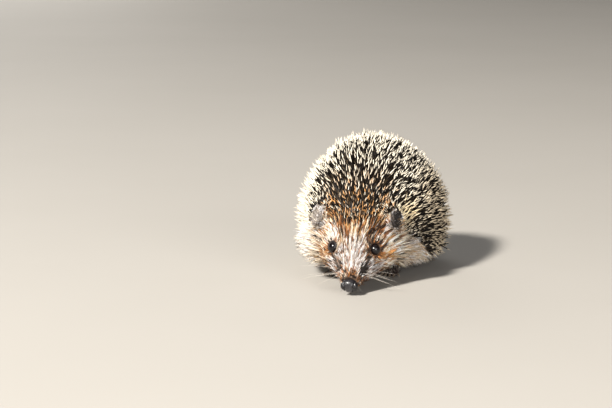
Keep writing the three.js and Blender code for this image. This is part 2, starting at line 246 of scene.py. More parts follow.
def in_head(points):
    """Points in the head's own frame: x to its left, y back from the nose tip, z up."""
    return (points - nose_tip) @ head_axes


def from_head(points):
    return np.asarray(points, float) @ head_axes.T + nose_tip


def ease(value, low, high):
    """0 below low, 1 above high, and smooth between."""
    share = np.clip((value - low) / (high - low), 0, 1)
    return share * share * (3 - 2 * share)


def blob(points, centre, radii, core=0.3):
    """1 in the core of an ellipsoid, 0 outside it, smooth between."""
    away = np.linalg.norm((points - np.array(centre)) / np.array(radii), axis=-1)
    return 1 - ease(away, core, 1)


def unit(vectors):
    size = np.linalg.norm(vectors, axis=-1, keepdims=True)
    return vectors / np.maximum(size, 1e-9)


def from_eyes(points):
    """The distance to the nearer eye's middle."""
    return np.min([np.linalg.norm(points - eye, axis=-1) for eye in eye_places], axis=0)


def from_nose(points):
    """The distance to the middle of the nose pad, where 1 is its surface."""
    return np.linalg.norm((in_head(points) - NOSE_MIDDLE) / NOSE_SIZE, axis=-1)


def hem_height(points):
    """The height at which the spines end and the fur of the flank begins."""
    y = points[:, 1]
    return 13 + 18 * ease(-y, -4, 44) + 5 * ease(y, 34, 64)


def mantle_share(points, overlap=0.0):
    """1 where spines stand, 0 where fur grows, from a point on the coat's outer form. An
    overlap moves the border this much further into the fur of cheeks and flanks."""
    head = in_head(points)
    border = 34.8 + np.minimum(0.029 * head[:, 0] ** 2, 8.5)
    border = border - overlap * ease(np.abs(head[:, 0]), 14, 24)
    back = ease(head[:, 1], border - 2, border + 2.5)
    above = ease(points[:, 2] - hem_height(points) + overlap, -3, 2)
    return back * above


def share_in(nodes, points, reach):
    """1 in the boxes of these nodes, 0 further outside them than the reach."""
    share = np.zeros(len(points))
    for node in nodes:
        low, high = box_of(node)
        inside = np.minimum(points - low, high - points).min(axis=1)
        share = np.maximum(share, ease(inside, -reach, 0.3))
    return share


def ear_rim(points):
    """1 along the rim of an ear, 0 in its middle."""
    rim = np.zeros(len(points))
    for name in EARS:
        shell = np.array([v.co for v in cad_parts[name].data.vertices]) / MM
        middle = shell.mean(axis=0)
        _, sizes, axes = np.linalg.svd(shell - middle, full_matrices=False)
        across = (shell - middle) @ axes[:2].T
        reach = np.abs(across).max(axis=0)
        out = np.linalg.norm((points - middle) @ axes[:2].T / reach, axis=1)
        rim = np.maximum(rim, ease(out, 0.62, 0.9) * (out < 1.3))
    return rim


def limb_share(points):
    """1 on the legs, paws and tail, 0 on the body."""
    low = 1 - ease(points[:, 2], 9, 13) * (points[:, 1] < 62)
    return share_in(LIMBS, points, 1.0) * low


def coat_depth(points):
    """How far the skin lies below the coat's outer form."""
    head = in_head(points)
    spines = mantle_share(points)
    face = 0.6 + 2.6 * ease(head[:, 1], 12, 42)
    face = face * (0.15 + 0.85 * ease(from_eyes(points), 4.5, 10))
    behind = ease(head[:, 1], 42, 62)
    flank = 2.0 + 2.6 * ease(points[:, 2], 3, 14)
    fur = face * (1 - behind) + flank * behind
    under_spines = 5.0 + 4.5 * ease(head[:, 1], 38, 60)
    return fur * (1 - spines) + under_spines * spines


def copy_of(node):
    """A copy of one of the frame's solids, free to be changed."""
    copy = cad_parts[node].copy()
    copy.data = copy.data.copy()
    copy.parent = None
    for key in list(copy.keys()):
        del copy[key]
    bpy.context.collection.objects.link(copy)
    return copy


def weld(data):
    """Joins a solid's loose triangles at the corners that they share."""
    mesh = bmesh.new()
    mesh.from_mesh(data)
    bmesh.ops.remove_doubles(mesh, verts=mesh.verts, dist=WELD * MM)
    mesh.to_mesh(data)
    mesh.free()


def join_into(whole, parts):
    """Joins all these parts, of which the whole is one."""
    bpy.ops.object.select_all(action="DESELECT")
    for part in parts:
        part.select_set(True)
    bpy.context.view_layer.objects.active = whole
    bpy.ops.object.join()


copies = [copy_of(node) for node in FLESH]
for copy in copies:
    weld(copy.data)
    swell = copy.modifiers.new("close_gaps", "DISPLACE")
    swell.strength = GAP_CLOSING * MM
    swell.mid_level = 0
    bpy.context.view_layer.objects.active = copy
    bpy.ops.object.modifier_apply(modifier=swell.name)
skin = copies[0]
join_into(skin, copies)
skin.name = "skin"
skin.data.name = "skin"
skin.data.materials.clear()
one_body = skin.modifiers.new("one_body", "REMESH")
one_body.mode = "VOXEL"
one_body.voxel_size = SKIN_VOXEL * MM
bpy.ops.object.modifier_apply(modifier=one_body.name)


def read_rows(data, key, width, kind=np.float32):
    values = np.empty(len(data) * width, kind)
    data.foreach_get(key, values)
    return values.reshape(-1, width)


def points_of(mesh):
    return read_rows(mesh.vertices, "co", 3).astype(float) / MM


def move_points(mesh, points):
    mesh.vertices.foreach_set("co", (points * MM).astype(np.float32).ravel())
    mesh.update()


edges = read_rows(skin.data.edges, "vertices", 2, np.int32)
neighbours = np.bincount(edges.ravel(), minlength=len(skin.data.vertices))[:, None]


def smoothed(values, rounds):
    """Each vertex's value is drawn towards the mean of its neighbours'."""
    values = values.copy()
    for _ in range(rounds):
        total = np.zeros_like(values)
        for near, far in (edges.T, edges.T[::-1]):
            for column in range(values.shape[1]):
                total[:, column] += np.bincount(
                    near, values[far, column], len(values)
                )
        values = values * 0.4 + total / neighbours * 0.6
    return values


rough_outer = points_of(skin.data)
ears = share_in(EARS, rough_outer, 0.8)[:, None]
limbs = np.maximum(limb_share(rough_outer)[:, None], ears)
outer = rough_outer * limbs + smoothed(rough_outer, 6) * (1 - limbs)
move_points(skin.data, outer)
depth = coat_depth(outer)[:, None] * (1 - limbs)
depth = smoothed(depth, 10) * (1 - limbs) + (0.5 - 0.45 * ears) * limbs + GAP_CLOSING
inner = outer.copy()
for _ in range(STEPS_INWARDS):
    normals = smoothed(read_rows(skin.data.vertices, "normal", 3).astype(float), 3)
    inner = inner - unit(normals) * depth / STEPS_INWARDS
    inner = smoothed(inner, 2) * (1 - limbs) + inner * limbs
    move_points(skin.data, inner)
skin_normals = read_rows(skin.data.vertices, "normal", 3).astype(float)
bpy.ops.object.shade_smooth()

bpy.ops.object.mode_set(mode="EDIT")
bpy.ops.mesh.select_all(action="SELECT")
bpy.ops.uv.smart_project(angle_limit=math.radians(66), island_margin=0.002)
bpy.ops.object.mode_set(mode="OBJECT")
skin.data.uv_layers[0].name = "OFBake"


def swirl(points, length, seed):
    """A smooth value about -1 to 1 that changes over this length."""
    random = np.random.default_rng(seed)
    waves = random.normal(size=(3, 4)) * 2.2 / length
    return np.sin(points @ waves + random.random(4) * 6.3).mean(axis=1) * 1.6


BLAZE, CREAM, GOLDEN, ORANGE, GREY, DARK = range(6)
FUR_COLOURS = np.array(
    [
        (0.90, 0.91, 0.95),
        (0.95, 0.87, 0.73),
        (0.68, 0.42, 0.17),
        (0.52, 0.22, 0.065),
        (0.30, 0.25, 0.22),
        (0.022, 0.014, 0.010),
    ]
)


def markings(points):
    """The shares of the fur colours at points on the coat's outer form. Both sides are
    alike but for the right ear and cheek, which are pale as painted sunlight on the side
    that faces the sun, the right brow, which is pale, and the right of the muzzle and the
    corner of the left eye, which are dark."""
    head = in_head(points)
    x = np.abs(head[:, 0]) + 0.9 * swirl(points, 5, 1)
    y = head[:, 1] + 1.3 * swirl(points, 6, 2)
    z = head[:, 2] + 0.9 * swirl(points, 6, 3)
    mirrored = np.column_stack([x, y, z])
    top = ease(z, 0, 5)
    left = ease(head[:, 0], 0, 6)
    height = points[:, 2] + 0.3 * np.abs(points[:, 0])
    blaze_side = 1 - ease(x, 3 + 0.1 * y, 6 + 0.15 * y)
    body = ease(y, 44, 58)
    on_ear = share_in(EARS, points, 0.8)
    zones = [
        (1.0, {CREAM: 0.54, ORANGE: 0.2, GOLDEN: 0.1, GREY: 0.04, DARK: 0.12}),
        (  # forehead
            ease(y, 24, 30) * top * (1 - ease(x, 9, 17)),
            {CREAM: 0.4, ORANGE: 0.26, GOLDEN: 0.12, DARK: 0.22},
        ),
        (  # brow
            ease(y, 28.5, 32.5) * top * (1 - ease(x, 16, 23)),
            {CREAM: 0.12, ORANGE: 0.34, GOLDEN: 0.14, DARK: 0.4},
        ),
        (  # sides of the muzzle
            (1 - ease(y, 17, 25)) * ease(x, 3.5, 8),
            {GREY: 0.22, DARK: 0.16, BLAZE: 0.56, ORANGE: 0.06},
        ),
        (  # its right side
            (1 - ease(y, 17, 25)) * ease(-head[:, 0], 3.5, 8),
            {GREY: 0.34, DARK: 0.26, BLAZE: 0.28, ORANGE: 0.12},
        ),
        (  # blaze
            blaze_side * ease(y, 8, 12) * (1 - ease(y, 22, 31)) * top,
            {BLAZE: 0.68, CREAM: 0.06, GREY: 0.1, ORANGE: 0.12, DARK: 0.04},
        ),
        (  # beside the blaze
            blob(mirrored, (8, 19, 5.2), (2.6, 9, 3.7)),
            {DARK: 0.56, GREY: 0.28, ORANGE: 0.12, BLAZE: 0.04},
        ),
        (  # round the nose
            1 - ease(y, 8, 12.5),
            {DARK: 0.42, ORANGE: 0.28, GREY: 0.2, CREAM: 0.1},
        ),
        (  # before the ear
            blob(mirrored, (18, 35, 10), (8, 9, 8)),
            {ORANGE: 0.2, DARK: 0.16, CREAM: 0.3, BLAZE: 0.22, GOLDEN: 0.12},
        ),
        (  # under the ear
            blob(mirrored, (20.5, 38.5, 12.5), (3.5, 4.5, 5)),
            {BLAZE: 0.55, GREY: 0.25, DARK: 0.2},
        ),
        (  # cheek
            ease(y, 28, 36) * (1 - ease(z, -2, 5)),
            {CREAM: 0.56, BLAZE: 0.12, GOLDEN: 0.2, DARK: 0.12},
        ),
        (  # behind the eye
            blob(mirrored, (16.8, 28, -1.5), (6.8, 7.5, 7)),
            {GOLDEN: 0.38, ORANGE: 0.38, CREAM: 0.18, DARK: 0.06},
        ),
        (  # ruff
            ease(x, 22, 28) * ease(y, 27, 33),
            {BLAZE: 0.26, CREAM: 0.46, GOLDEN: 0.2, GREY: 0.08},
        ),
        # its right side: paler, painted sunlight on the cheek that faces the sun
        (  # its right side
            ease(-head[:, 0], 20.5, 24) * ease(y, 27, 33),
            {BLAZE: 0.34, CREAM: 0.48, GREY: 0.18},
        ),
        (  # over the eye
            blob(mirrored, (12.5, 31.5, 11.5), (5.5, 6, 5)) * (1 - 0.75 * left),
            {BLAZE: 0.76, CREAM: 0.24},
        ),
        (  # round the eye
            1 - ease(from_eyes(points) - 1.2 * left, 4.0, 5.0),
            {DARK: 0.74, ORANGE: 0.26},
        ),
        (  # under the eye
            (1 - ease(from_eyes(points), 4.4, 6.4)) * (1 - ease(z, 4, 8)),
            {DARK: 0.5, ORANGE: 0.5},
        ),
        (  # corner of the eye
            blob(mirrored, (8.7, 20.6, 7.3), (3.2, 5.6, 4.0)) * (0.25 + 0.75 * left),
            {DARK: 0.85, ORANGE: 0.15},
        ),
        (  # whisker pad
            blob(mirrored, (6.6, 13.0, 4.0), (3.0, 4.8, 3.8)),
            {DARK: 0.97, GREY: 0.03},
        ),
        (  # chin
            (ease(y, 3, 8) - ease(y, 24, 32)) * (1 - ease(z, -6.5, -3.5))
            * (1 - ease(x, 12, 17)),
            {DARK: 0.55, ORANGE: 0.2, GREY: 0.25},
        ),
        (body, {CREAM: 0.36, BLAZE: 0.18, GOLDEN: 0.08, GREY: 0.29, DARK: 0.09}),
        # darker low on the flanks and under the belly, partly as painted shade under the
        # body
        (  # belly
            np.maximum(
                body * (1 - ease(np.abs(points[:, 0]), 18, 28)),
                ease(y, 34, 46) * (1 - ease(height, 11, 17)),
            ),
            {GREY: 0.42, CREAM: 0.26, DARK: 0.32},
        ),
        # legs and tail: dark; on the legs this is partly painted shade under the body
        (limb_share(points), {GREY: 0.42, DARK: 0.44, CREAM: 0.14}),
        (on_ear, {DARK: 0.74, GREY: 0.14, BLAZE: 0.12}),
        (on_ear * (1 - ease(z, 12, 15.5)), {CREAM: 0.5, GREY: 0.25, GOLDEN: 0.25}),
        # right ear: pale hair, painted sunlight on the ear that faces the sun
        (on_ear * ease(-head[:, 0], 17, 20), {BLAZE: 0.45, CREAM: 0.15, GREY: 0.4}),
    ]
    shares = np.zeros((len(points), len(FUR_COLOURS)))
    for place, colours in zones:
        place = np.broadcast_to(place, len(points))[:, None]
        zone = np.array([colours.get(colour, 0) for colour in range(len(FUR_COLOURS))])
        shares = shares * (1 - place) + zone * place
    return shares


BARE_SKIN = np.array((0.22, 0.12, 0.10))
# Under the spines the skin is painted nearly black: painted shade deep between the spines.
SHADED_SPINE_SKIN = np.array((0.008, 0.005, 0.004))
# The paws' skin is dark, and darker still as painted shade under the body.
PAW_SKIN_AND_SHADE = np.array((0.045, 0.028, 0.024))
EAR_SKIN = np.array((0.018, 0.014, 0.013))
# The right ear's skin is pale: painted sunlight on the ear that faces the sun.
SUNLIT_EAR_SKIN = np.array((0.24, 0.21, 0.185))


def colour_attribute(mesh, colours):
    layer = mesh.color_attributes.new("colour", "FLOAT_COLOR", "POINT")
    rows = np.column_stack([colours, np.ones(len(colours))]).astype(np.float32)
    layer.data.foreach_set("color", rows.ravel())


# The skin under the fur takes the fur's colours at 0.45: painted shade of the coat that
# lies over it.
shaded_under_fur = 0.45 * (markings(outer) @ FUR_COLOURS) + 0.1 * BARE_SKIN
mantle = mantle_share(outer)[:, None] * (1 - ears)
low_limbs = limb_share(outer)[:, None] * (1 - ease(outer[:, 2:], 5, 9))
tone = shaded_under_fur * (1 - mantle) + SHADED_SPINE_SKIN * mantle
tone = tone * (1 - low_limbs) + PAW_SKIN_AND_SHADE * low_limbs
# The right ear's pale skin is painted sunlight.
sunlit_ear = ease(-in_head(outer)[:, :1], 17, 20)
ear_skin = SUNLIT_EAR_SKIN * sunlit_ear + EAR_SKIN * (1 - sunlit_ear)
tone = tone * (1 - ears) + ear_skin * ears
colour_attribute(skin.data, tone)

skin_finish = Finish("skin")
tint = skin_finish.attribute("colour", "Color")
mottle = skin_finish.spread(skin_finish.noise(420.0), 0.3, 0.7, 0.75, 1.2)
grain = skin_finish.noise(2600.0, 2.0)
wrinkle = skin_finish.noise(800.0)
skin_finish.feed(
    Base_Color=skin_finish.scaled(tint, mottle),
    Roughness=skin_finish.spread(grain, 0.3, 0.7, 0.5, 0.8),
    Normal=skin_finish.bump(wrinkle + 0.5 * grain, 0.6, 0.0004),
)
skin.data.materials.append(skin_finish.material)

# Each eye has its lids, a thin shell of bare skin over the ball with a dark rim round the
# opening, which is given as its half angles along the head and across it. The right eye is
# half closed.
LID_GAP = 0.1
LID_THICK = 0.55
LID_REACH = math.radians(115)
LID_RIM = np.array((0.008, 0.006, 0.006))
LID_SKIN = np.array((0.07, 0.04, 0.025))
LID_OPENING = {1: np.radians((91, 88)), -1: np.radians((62, 36))}
EYE_LOOKS = {1: (0.61, -0.58, 0.54), -1: (-0.45, -0.66, 0.60)}
# points round an eye's opening, and round the section of its lids
LID_STEPS = 40
ROLL_STEPS = 8


def ring_mesh(name, rows):
    """A mesh through a grid of points, closed across each row and from last to first."""
    count, around = rows.shape[:2]
    corner = np.arange(count * around).reshape(count, around)
    after = np.roll(corner, -1, axis=0)
    faces = [corner, after, np.roll(after, -1, axis=1), np.roll(corner, -1, axis=1)]
    faces = np.stack(faces, -1).reshape(-1, 4)
    mesh = bpy.data.meshes.new(name)
    mesh.from_pydata((rows.reshape(-1, 3) * MM).tolist(), [], faces.tolist())
    mesh.validate()
    return mesh


eye_axes = []
lids = []
for side, eye in zip((1, -1), eye_places):
    out = unit(head_axes @ np.array(EYE_LOOKS[side]))
    along = head_axes @ np.array((0, 1, 0.15))
    along = unit(along - out * (along @ out))
    up = np.cross(out, along)
    up = up * np.sign(up[2])
    eye_axes.append((out, along, up))
    turn = np.linspace(0, 2 * math.pi, LID_STEPS, endpoint=False)[:, None, None]
    roll = np.linspace(0, 2 * math.pi, ROLL_STEPS, endpoint=False)[None, :, None]
    opening = np.hypot(
        LID_OPENING[side][0] * np.cos(turn), LID_OPENING[side][1] * np.sin(turn)
    )
    sideways = np.cos(turn) * along + np.sin(turn) * up
    outwards = (1 + np.cos(roll)) / 2
    lean = opening + (LID_REACH - opening) * outwards
    distance = EYE_RADIUS + LID_GAP + LID_THICK * np.sin(roll) * (1 - 0.4 * outwards)
    rows = eye + distance * (np.cos(lean) * out + np.sin(lean) * sideways)
    lid = bpy.data.objects.new("lid", ring_mesh("lid", rows))
    bpy.context.collection.objects.link(lid)
    lid.data.polygons.foreach_set("use_smooth", [True] * len(lid.data.polygons))
    lid.data.uv_layers.new(name="OFBake")
    bare = ease(np.tile(outwards.ravel(), LID_STEPS), 0.35, 0.75)[:, None]
    colour_attribute(lid.data, LID_RIM * (1 - bare) + LID_SKIN * bare)
    lid.data.materials.append(skin_finish.material)
    lids.append(lid)
skin.data.calc_loop_triangles()
skin_triangles = read_rows(skin.data.loop_triangles, "vertices", 3, np.int32)
unwrap_corners = read_rows(skin.data.loop_triangles, "loops", 3, np.int32)
unwrap = read_rows(skin.data.uv_layers[0].uv, "vector", 2).astype(float)
join_into(skin, [skin, *lids])
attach(skin, "root")
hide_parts(*FLESH)

# ---------------------------------------------------------------- eyes
# Two round, wet, nearly black eyes with a brown iris that hardly shows. Each is a ball with
# the slight bulge of its cornea, set into the head behind the lids.
CORNEA_BULGE = 0.28

eye_finish = Finish(
    "eye", Roughness=0.3, Specular_IOR_Level=0.03, Coat_Roughness=0.22, Coat_IOR=1.5
)
iris = eye_finish.spread(eye_finish.noise(700.0, 4.0), 0.35, 0.65)
eye_finish.feed(
    Base_Color=eye_finish.mix(iris, (0.002, 0.0015, 0.002), (0.005, 0.003, 0.003)),
    Coat_Weight=eye_finish.spread(eye_finish.noise(90.0), 0.2, 0.8, 0.65, 0.8),
)
for side, eye, (out, along, up) in zip(("left", "right"), eye_places, eye_axes):
    bpy.ops.mesh.primitive_uv_sphere_add(
        segments=48, ring_count=32, radius=EYE_RADIUS * MM
    )
    ball = bpy.context.object
    ball.name = f"eyeball_{side}"
    shape = points_of(ball.data)
    front = ease(shape[:, 2] / EYE_RADIUS, 0.55, 0.95)[:, None]
    shape = shape * (1 + CORNEA_BULGE / EYE_RADIUS * front)
    shape = shape @ np.array([along, np.cross(out, along), out]) + eye
    move_points(ball.data, shape)
    bpy.ops.object.shade_smooth()
    ball.data.materials.append(eye_finish.material)
    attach(ball, "root")
    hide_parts(f"eye_{side}")

# ---------------------------------------------------------------- spines
# Stiff, straight, pointed quills that are brown at the root, nearly black in the middle
# and cream at the tip. They grow apart in the skin of the back and lean back from the
# nose; on the brow they are short, fine and golden.
SPINE_SPACING = 1.36
BROW_SPACING = 0.76
SPINE_CANDIDATES = 36000
SPINE_LENGTH = (7.4, 12.8)
SPINE_RADIUS = (0.19, 0.31)
SPINE_LEAN = 44
# how far along a spine its rings and tip are, and each ring's share of the radius
SPINE_TIMES = np.array([0, 0.14, 0.62, 0.86, 1.0])
SPINE_WIDTHS = (0.45, 0.9, 1.0, 0.7)
SPINE_SIDES = 6
SPINE_PATCH = (0.003, 0.007)
MAP_MARGIN = 0.002
CAP_ON_PATCH = 0.04
LOWEST_HAIR = 0.45


def scatter(random, amount, share):
    """Roots on the skin, as many as asked, thicker where the vertices' share is larger."""
    a, b, c = (inner[skin_triangles[:, n]] for n in range(3))
    area = np.linalg.norm(np.cross(b - a, c - a), axis=1)
    weight = np.cumsum(area * share[skin_triangles].mean(axis=1))
    chosen = np.searchsorted(weight, random.random(amount) * weight[-1])
    first, second = random.random((2, amount))
    over = first + second > 1
    first, second = np.where(over, 1 - first, first), np.where(over, 1 - second, second)
    parts = np.column_stack([1 - first - second, first, second])[:, :, None]
    corners = skin_triangles[chosen]
    return {
        "place": (inner[corners] * parts).sum(axis=1),
        "outer": (outer[corners] * parts).sum(axis=1),
        "normal": unit((skin_normals[corners] * parts).sum(axis=1)),
        "unwrap": (unwrap[unwrap_corners[chosen]] * parts).sum(axis=1),
    }


def chosen_roots(roots, which):
    return {key: rows[which] for key, rows in roots.items()}


def tree_of(points):
    tree = KDTree(len(points))
    for index, point in enumerate(points):
        tree.insert(point, index)
    tree.balance()
    return tree


def spaced_out(points, spacing):
    """Which points are left when none may stand this close to an earlier one."""
    tree = tree_of(points)
    left = np.ones(len(points), bool)
    for index, point in enumerate(points):
        if left[index]:
            for _, other, _ in tree.find_range(point, spacing):
                if other > index:
                    left[other] = False
    return left


def lie_of_coat(roots, turn, droop=0.1):
    """The direction along the skin in which the coat lies, turned by these angles."""
    points, normals = roots["outer"], roots["normal"]
    lie = unit(points - nose_tip)
    lie[:, 2] -= droop
    for eye in eye_places:
        away = points - eye
        distance = np.linalg.norm(away, axis=1)[:, None]
        lie = lie + 1.6 * away / distance * (1 - ease(distance, 4.5, 9))
    limb = limb_share(points)[:, None]
    on_tail = share_in(["tail"], points, 1.0)[:, None]
    lie = lie * (1 - limb) + np.array((0, 0.2, -1)) * limb
    lie = lie * (1 - on_tail) + np.array((0, 1, -0.35)) * on_tail
    lie = unit(lie - normals * (lie * normals).sum(axis=1)[:, None])
    turn = turn[:, None]
    return lie * np.cos(turn) + np.cross(normals, lie) * np.sin(turn)


def leaning(normals, lie, lean):
    lean = lean[:, None]
    return normals * np.cos(lean) + lie * np.sin(lean)


def paths(roots, start, end, length, times):
    """Points along each strand, which leaves its root one way and ends another."""
    times = times[None, :, None]
    way = start[:, None] * (times - times**2 / 2) + end[:, None] * times**2 / 2
    return roots["place"][:, None] + way * length[:, None, None]


def strands(name, middles, radii, widths, roots, sides, patch):
    """One mesh of closed, pointed strands through these middles, each with its own small
    patch of the bake map at its root's place on the skin's unwrap."""
    count, rings = middles.shape[0], middles.shape[1] - 1
    middles = middles.copy()
    middles[:, :, 2] = np.maximum(middles[:, :, 2], LOWEST_HAIR)
    along = unit(np.diff(middles, axis=1))
    along = np.concatenate([along[:, :1], along], axis=1)[:, :-1]
    side = unit(np.cross(along, roots["normal"][:, None]) + 1e-4)
    other = np.cross(along, side)
    angle = np.arange(sides) / sides * 2 * math.pi
    around = (
        np.cos(angle)[:, None] * side[:, :, None]
        + np.sin(angle)[:, None] * other[:, :, None]
    )
    size = radii[:, None] * np.array(widths)
    tube = middles[:, :-1, None] + around * size[:, :, None, None]
    tube = tube.reshape(count, rings * sides, 3)
    points = np.concatenate([tube, middles[:, -1:]], axis=1)
    each = rings * sides + 1
    ring, spot = np.meshgrid(np.arange(rings - 1), np.arange(sides), indexing="ij")
    ring, spot = ring.ravel(), spot.ravel()
    first = ring * sides + spot
    after = ring * sides + (spot + 1) % sides
    quads = np.column_stack([first, after, after + sides, first + sides])
    tips = np.column_stack([first, after])[-sides:] + sides
    tips = np.column_stack([tips, np.full(sides, each - 1)])
    spot = np.arange(sides)
    cap = spot[::-1]
    corners = np.concatenate([quads.ravel(), tips.ravel(), cap])
    totals = [4] * len(quads) + [3] * len(tips) + [sides]
    level = np.arange(rings) / rings
    across = np.concatenate(
        [
            np.tile((spot[:, None] + [0, 1, 1, 0]).ravel(), rings - 1),
            (spot[:, None] + [0, 1, 0.5]).ravel(),
            sides / 2 + sides / 2 * np.cos(angle)[cap],
        ]
    ) / sides
    upward = np.concatenate(
        [
            (level[ring][:, None] + np.array([0, 0, 1, 1]) / rings).ravel(),
            np.tile([level[-1], level[-1], 1.0], sides),
            CAP_ON_PATCH + CAP_ON_PATCH * np.sin(angle)[cap],
        ]
    )
    low, high = roots["unwrap"].min(axis=0), roots["unwrap"].max(axis=0)
    room = 1 - 2 * MAP_MARGIN - np.array(patch)
    spot_on_map = MAP_MARGIN + (roots["unwrap"] - low) / (high - low) * room
    uv = spot_on_map[:, None] + np.column_stack([across, upward]) * patch

    mesh = bpy.data.meshes.new(name)
    mesh.vertices.add(count * each)
    move_points(mesh, points)
    loops = np.arange(count)[:, None] * each + corners
    mesh.loops.add(loops.size)
    mesh.loops.foreach_set("vertex_index", loops.astype(np.int32).ravel())
    starts = np.concatenate([[0], np.cumsum(totals)[:-1]])
    starts = np.arange(count)[:, None] * len(corners) + starts
    mesh.polygons.add(starts.size)
    mesh.polygons.foreach_set("loop_start", starts.astype(np.int32).ravel())
    mesh.update(calc_edges=True)
    mesh.polygons.foreach_set("use_smooth", np.ones(starts.size, bool))
    layer = mesh.uv_layers.new(name="OFBake")
    layer.uv.foreach_set("vector", uv.astype(np.float32).ravel())
    piece = bpy.data.objects.new(name, mesh)
    bpy.context.collection.objects.link(piece)
    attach(piece, "root")
    return piece


def paint(piece, count, times, sides, colours, shift=0.0):
    """Gives each strand its colour, or one for each ring and one for its tip, and how far
    along it they are, moved on by the shift."""
    colours = np.broadcast_to(colours, (count, len(times), 3))
    rows = np.repeat(colours[:, :-1], sides, axis=1)
    rows = np.concatenate([rows, colours[:, -1:]], axis=1)
    colour_attribute(piece.data, rows.reshape(-1, 3))
    along = np.concatenate([np.repeat(times[:-1], sides), times[-1:]])
    layer = piece.data.attributes.new("along", "FLOAT", "POINT")
    along = np.tile(along, (count, 1)) + np.reshape(shift, (-1, 1))
    layer.data.foreach_set("value", along.astype(np.float32).ravel())


spine_finish = Finish("spines", Specular_IOR_Level=0.12)
SPINE_DARK = (0.006, 0.004, 0.003)
SPINE_ROOT = (0.1, 0.07, 0.04)
# where along a spine its dark part begins, and its tip
DARK_FROM = (0.22, 0.42)
TIP_FROM = (0.75, 0.80)
TIP_PALE = np.array((0.90, 0.82, 0.67))
TIP_GOLDEN = np.array((0.92, 0.45, 0.15))
FLANK_SHADE_TINT = np.array((0.26, 0.33, 0.42))
TEMPLE_TINT = np.array((0.0, 0.09, 0.28))
LEFT_TEMPLE = ((33, -38, 40), (11, 14, 12))
along = spine_finish.attribute("along")
shift = spine_finish.noise(260.0, 2.0)
reach = along + 0.14 * (shift - 0.5)
to_dark = spine_finish.spread(reach, *DARK_FROM)
to_tip = spine_finish.spread(reach, *TIP_FROM)
base = spine_finish.mix(to_dark, SPINE_ROOT, SPINE_DARK)
tip_colour = spine_finish.attribute("colour", "Color")
spine_finish.feed(
    Base_Color=spine_finish.mix(to_tip, base, tip_colour),
    Roughness=spine_finish.spread(spine_finish.noise(1500.0), 0.3, 0.7, 0.3, 0.5),
)

random = np.random.default_rng(11)
may_stand = mantle_share(outer, 1.0) * (1 - ears[:, 0]) > 0.3
roots = scatter(random, SPINE_CANDIDATES, may_stand.astype(float))
head = in_head(roots["outer"])
grown = ease(head[:, 1], 37, 62)
left = spaced_out(roots["place"], BROW_SPACING)
coarse = spaced_out(roots["place"][left], SPINE_SPACING)
keep = np.flatnonzero(left)
keep = keep[coarse | (grown[keep] < random.random(len(keep)) * 0.7)]
roots = chosen_roots(roots, keep)
head, grown = head[keep], grown[keep]
count = len(keep)
above_hem = ease(roots["outer"][:, 2] - hem_height(roots["outer"]), 0, 10)
length = SPINE_LENGTH[0] + (SPINE_LENGTH[1] - SPINE_LENGTH[0]) * grown
length = length * (0.8 + 0.2 * above_hem) * random.uniform(0.88, 1.06, count)
back = ease(head[:, 1], 60, 115)
lean = np.radians(SPINE_LEAN - grown + 10 * back + 9 * (1 - above_hem))
lean = lean + random.normal(size=count) * math.radians(8.5)
turn = 0.35 * swirl(roots["outer"], 12, 5)
turn = turn + random.normal(size=count) * (0.22 + 0.2 * grown)
lie = lie_of_coat(roots, turn)
start = leaning(roots["normal"], lie, lean)
end = leaning(roots["normal"], lie, lean + random.normal(size=count) * 0.12)
middles = paths(roots, start, end, length, SPINE_TIMES)
radii = SPINE_RADIUS[0] + (SPINE_RADIUS[1] - SPINE_RADIUS[0]) * grown
radii = radii * random.uniform(0.85, 1.1, count)
# Tips are golden on the brow, and darker and warmer down the left flank, as painted shade
# on the side turned from the sun. Their pale part is longer on the left temple, on the
# right flank, where it is painted sunlight, and over the rump.
across, height = roots["outer"][:, 0], roots["outer"][:, 2]
temple = blob(roots["outer"], *LEFT_TEMPLE)
golden = (1 - ease(head[:, 1], 46, 68)) * random.uniform(0.6, 1.15, count)
golden = golden * (1 - ease(np.abs(head[:, 0]), 16, 25))
golden = np.clip(golden * (random.random(count) < 0.8), 0, 1)[:, None]
pale = TIP_PALE * random.uniform(0.44, 1.04, (count, 1))
# Painted shade: tips darker and warmer on the left flank, turned from the sun.
pale = pale * (1 - ease(across, 30, 44)[:, None] * FLANK_SHADE_TINT)
warm = TIP_GOLDEN * random.uniform(0.06, 1.02, (count, 1))
pale = pale * (1 - temple[:, None] * TEMPLE_TINT)
tips = pale * (1 - golden) + warm * golden
more_tip = 0.03 + 0.26 * temple + 0.02 * (1 - grown)
more_tip = more_tip + 0.08 * back * (1 - ease(across, 5, 25))
# Longer pale tips on the right flank: painted sunlight.
more_tip = more_tip + (0.3 - 0.24 * ease(height, 44, 62)) * ease(-across, 16, 36)
more_tip = more_tip + random.normal(size=count) * 0.035
forward = roots["outer"][:, 1] < np.median(roots["outer"][:, 1])
for side, here in (("front", forward), ("back", ~forward)):
    piece = strands(
        f"spines_{side}",
        middles[here],
        radii[here],
        SPINE_WIDTHS,
        chosen_roots(roots, here),
        SPINE_SIDES,
        SPINE_PATCH,
    )
    colour = tips[here][:, None]
    paint(piece, here.sum(), SPINE_TIMES, SPINE_SIDES, colour, more_tip[here])
    piece.data.materials.append(spine_finish.material)

# ---------------------------------------------------------------- fur
# Coarse straight hair on face, flanks, belly, legs and ears. It grows in thin locks that
# lie back from the nose: shortest on ears, muzzle and feet, longest on cheeks and flanks.
FUR_SIDES = 3
FUR_TIMES = np.array([0, 0.38, 0.74, 1.0])
FUR_WIDTHS = (0.9, 1.0, 0.68)
FUR_PATCH = (0.003, 0.003)
# how far from the spines the roots of the fur stop
FUR_SETBACK = 3.8


